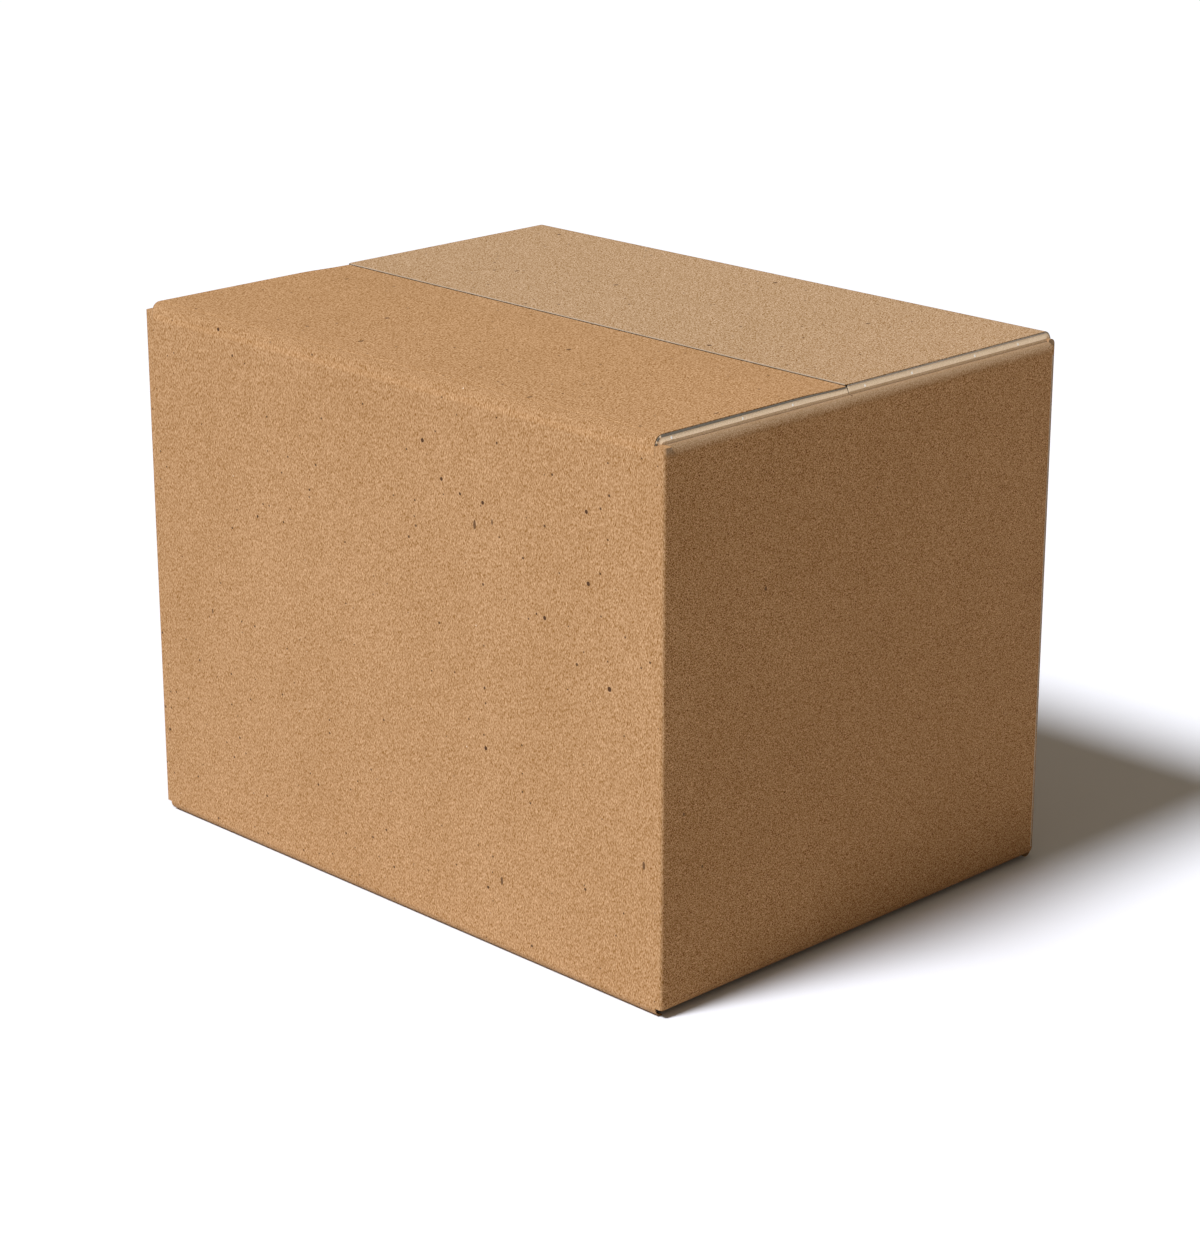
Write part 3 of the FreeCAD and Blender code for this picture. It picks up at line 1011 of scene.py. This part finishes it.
# White paper for the glints: painted highlights.
glint_paint = paper_material("glint_paint", (1.0, 0.97, 0.90), 0.10, 0.5)
# The hollow's paper is painted shade: a dark sheet where the hollow is only in shadow.
cut_hollow_painted_shade = paper_material("cut_hollow_painted_shade", (0.235, 0.215, 0.172), 0.30, 0.9, 0.3)
flute_paper = paper_material("flute_paper", (0.40, 0.34, 0.27), 0.20, 0.9, 0.3)
edge_papers = (kraft_inside, cut_paper, seam_paper, cut_pale_painted_light, cut_lip, cut_hollow_painted_shade, glint_paint)
print("inside and edge papers", [m.name for m in edge_papers + (flute_paper,)])

# %% [markdown]
# ## Put the pieces together
# Outer liners, inner liners and flutes have different papers. Each part gets its own
# paper and the colour of its cut rim, and the parts of one sheet are then joined.

# %% Give papers and join
def dress(ob, face, rim):
    """Two materials: the paper's face first, its cut rim second."""
    rims = [p.material_index for p in ob.data.polygons]
    ob.data.materials.clear()
    ob.data.materials.append(face)
    ob.data.materials.append(rim)
    for polygon, index in zip(ob.data.polygons, rims):
        polygon.material_index = index


def dress_faces(ob, paper, test):
    """Give a third paper to the faces whose normal passes the test."""
    ob.data.materials.append(paper)
    for polygon in ob.data.polygons:
        if polygon.material_index == 0 and test(polygon.normal):
            polygon.material_index = 2


def join(name, parts):
    """Join the parts into one piece with smooth shading where the paper bends."""
    bpy.ops.object.select_all(action="DESELECT")
    for ob in parts:
        ob.select_set(True)
    bpy.context.view_layer.objects.active = parts[0]
    bpy.ops.object.join()
    piece = bpy.context.active_object
    piece.name = name
    piece.data.name = name
    bpy.ops.object.shade_smooth_by_angle(angle=math.radians(40))
    bpy.ops.object.select_all(action="DESELECT")
    print(name, sum(len(p.vertices) - 2 for p in piece.data.polygons), "triangles")
    return piece


# %% Papers of the folded sheet
floor_outside = [ob for i, ob in enumerate(floor_papers) if i % 3 < 2]
inside_sheets = [wall_inner] + end_papers[1::2] + floor_papers[2::3]
for ob in [wall_outer] + posts + floor_outside:
    dress(ob, kraft, cut_paper)
    # Faces turned along X, the ends, take the ends' paper with its painted shade.
    dress_faces(ob, kraft_ends_painted_shade, lambda normal: abs(normal.x) > 0.9)
for ob in end_papers[0::2]:
    dress(ob, kraft_ends_painted_shade, cut_paper)
for ob in inside_sheets + panel_shoulders + flap_shoulders:
    dress(ob, kraft_inside, cut_paper)
for ob in wall_flutes + [front_papers[2], rear_papers[2], front_roll_papers[2], rear_roll_papers[2]]:
    dress(ob, flute_paper, cut_paper)
print("inside sheets", len(inside_sheets), "outside floor sheets", len(floor_outside))

# %% Papers of the long flaps and of their folds
for ob, paper in ((front_papers[0], kraft_front), (rear_papers[0], kraft_rear)):
    dress(ob, paper, cut_paper)
for ob in (front_papers[1], rear_papers[1], front_roll_papers[1], rear_roll_papers[1]):
    dress(ob, kraft_inside, cut_paper)
# The front fold takes the paper with painted highlight and shade; its flat top takes the flap's
# paper.
dress(front_roll_papers[0], front_fold_painted_light, cut_paper)
dress_faces(front_roll_papers[0], kraft_front, lambda normal: normal.z > 0.95)
dress(rear_roll_papers[0], kraft_rear, cut_paper)
print("front fold papers", [m.name for m in front_roll_papers[0].data.materials])

# %% [markdown]
# The hollow at the near end of the front fold is torn: seen round the fold, two short
# stretches of its painted-shade strip take the pale band's paper, with its painted light.

# %% Papers of the cut ends
TORN_STRETCHES = ((15, 30), (60, 75))
# The front hollows take the painted-shade paper, and the pale bands take the pale paper with its
# painted light.
for edges in list(flap_edges.values()) + list(roll_edges.values()):
    for strip, paper in zip(edges, (cut_hollow_painted_shade, cut_pale_painted_light, cut_lip) * 2):
        dress(strip, paper, paper)
for strip in flap_edges[1][0::BANDS] + roll_edges[1][0::BANDS]:
    dress(strip, flute_paper, flute_paper)
# The rear panel's cut edge takes the same pale paper, painted light included.
dress(rear_cut_strip, cut_pale_painted_light, cut_pale_painted_light)
# The glints are painted highlights.
for ob in painted_glints[-1] + painted_glints[1]:
    dress(ob, glint_paint, glint_paint)
dress(seam_strip, seam_paper, seam_paper)
torn = roll_edges[-1][BANDS]
torn.data.materials[1] = cut_pale_painted_light
for polygon in torn.data.polygons:
    out = -polygon.center.y - INSIDE_Y * MM
    turn = math.degrees(math.atan2(polygon.center.z - TOP_INNER * MM, out))
    polygon.material_index = int(any(low < turn < high for low, high in TORN_STRETCHES))
print("torn faces", sum(p.material_index for p in torn.data.polygons))

# %% Join the parts
sheet_parts = [wall_outer, wall_inner] + end_papers + floor_papers + wall_flutes + posts
folded_sheet = join("folded_sheet", sheet_parts + panel_shoulders + [rear_cut_strip])
front_parts = front_papers + flap_edges[-1] + flap_shoulders[:1] + painted_glints[-1]
front_flap = join("front_flap_sheet", front_parts)
rear_parts = rear_papers + flap_edges[1] + flap_shoulders[1:] + painted_glints[1] + [seam_strip]
rear_flap = join("rear_flap_sheet", rear_parts)
front_roll = join("front_fold_roll", front_roll_papers + roll_edges[-1])
rear_roll = join("rear_fold_roll", rear_roll_papers + roll_edges[1])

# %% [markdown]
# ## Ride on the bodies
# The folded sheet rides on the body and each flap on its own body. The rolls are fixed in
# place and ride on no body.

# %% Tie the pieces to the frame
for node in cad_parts.values():
    node.data.materials.clear()
    node.data.materials.append(kraft)
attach(folded_sheet, "carton")
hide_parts("carton_body")
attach(front_flap, "front_flap")
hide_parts("front_top_flap")
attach(rear_flap, "rear_flap")
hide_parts("rear_top_flap")
for roll, side, body in ((front_roll, -1, "front_flap"), (rear_roll, 1, "rear_flap")):
    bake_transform(roll)

# %% [markdown]
# ## Floor, light and camera
# A white floor, a soft high key light from the front and a pale sky. The camera stands
# where the photograph was taken. Its place and its turn come from a camera fitted to the
# straight edges of the box, and so does its focal length, in pixels of the photograph.

# %% Floor
bpy.ops.object.select_all(action="DESELECT")
bpy.ops.mesh.primitive_plane_add(size=24, location=(0, 0, 0))
floor = bpy.context.active_object
floor.name = "studio_floor"
floor_paint = bpy.data.materials.new("studio_floor")
floor_paint.use_nodes = True
floor_shader = floor_paint.node_tree.nodes["Principled BSDF"]
floor_shader.inputs["Base Color"].default_value = (0.72, 0.73, 0.75, 1)
floor_shader.inputs["Roughness"].default_value = 0.9
floor_shader.inputs["Specular IOR Level"].default_value = 0.0
floor.data.materials.append(floor_paint)

# %% Lights
SKY_TINT = (1.0, 0.85, 0.66, 1)
SKY_STRENGTH = 0.22
KEY_TINT = (1.0, 1.02, 1.09)
KEY_TOWARD = (-0.12, -0.55, 0.82)
KEY_ANGLE = 14
KEY_STRENGTH = 4.6
world = bpy.data.worlds.new("studio_sky")
world.use_nodes = True
world.node_tree.nodes["Background"].inputs["Color"].default_value = SKY_TINT
world.node_tree.nodes["Background"].inputs["Strength"].default_value = SKY_STRENGTH
bpy.context.scene.world = world
key_data = bpy.data.lights.new("key_light", "SUN")
key_data.angle = math.radians(KEY_ANGLE)
key_data.color = KEY_TINT
key_data.energy = KEY_STRENGTH
key = bpy.data.objects.new("key_light", key_data)
key.location = Vector(KEY_TOWARD) * 3
key.rotation_euler = Vector(KEY_TOWARD).to_track_quat("Z", "Y").to_euler()
bpy.context.scene.collection.objects.link(key)
print("light", key.name, "strength", key_data.energy)

# %% Camera
PHOTO_HEIGHT = 1238
FOCAL_PIXELS = 3288.9
SENSOR = 36
CAMERA_PLACE = (0.97667, -0.96071, 0.56220)
CAMERA_ABOVE = 18.619
CAMERA_AROUND = 45.358
camera_data = bpy.data.cameras.new("photo_camera")
camera_data.sensor_width = SENSOR
camera_data.lens = FOCAL_PIXELS / PHOTO_HEIGHT * SENSOR
camera_data.clip_start = 0.05
camera_data.clip_end = 60
camera = bpy.data.objects.new("photo_camera", camera_data)
camera.location = CAMERA_PLACE
camera.rotation_euler = (math.radians(90 - CAMERA_ABOVE), 0, math.radians(CAMERA_AROUND))
bpy.context.scene.collection.objects.link(camera)
bpy.context.scene.camera = camera
bpy.context.scene.view_settings.view_transform = "Standard"
print("lens", round(camera_data.lens, 2), "mm")
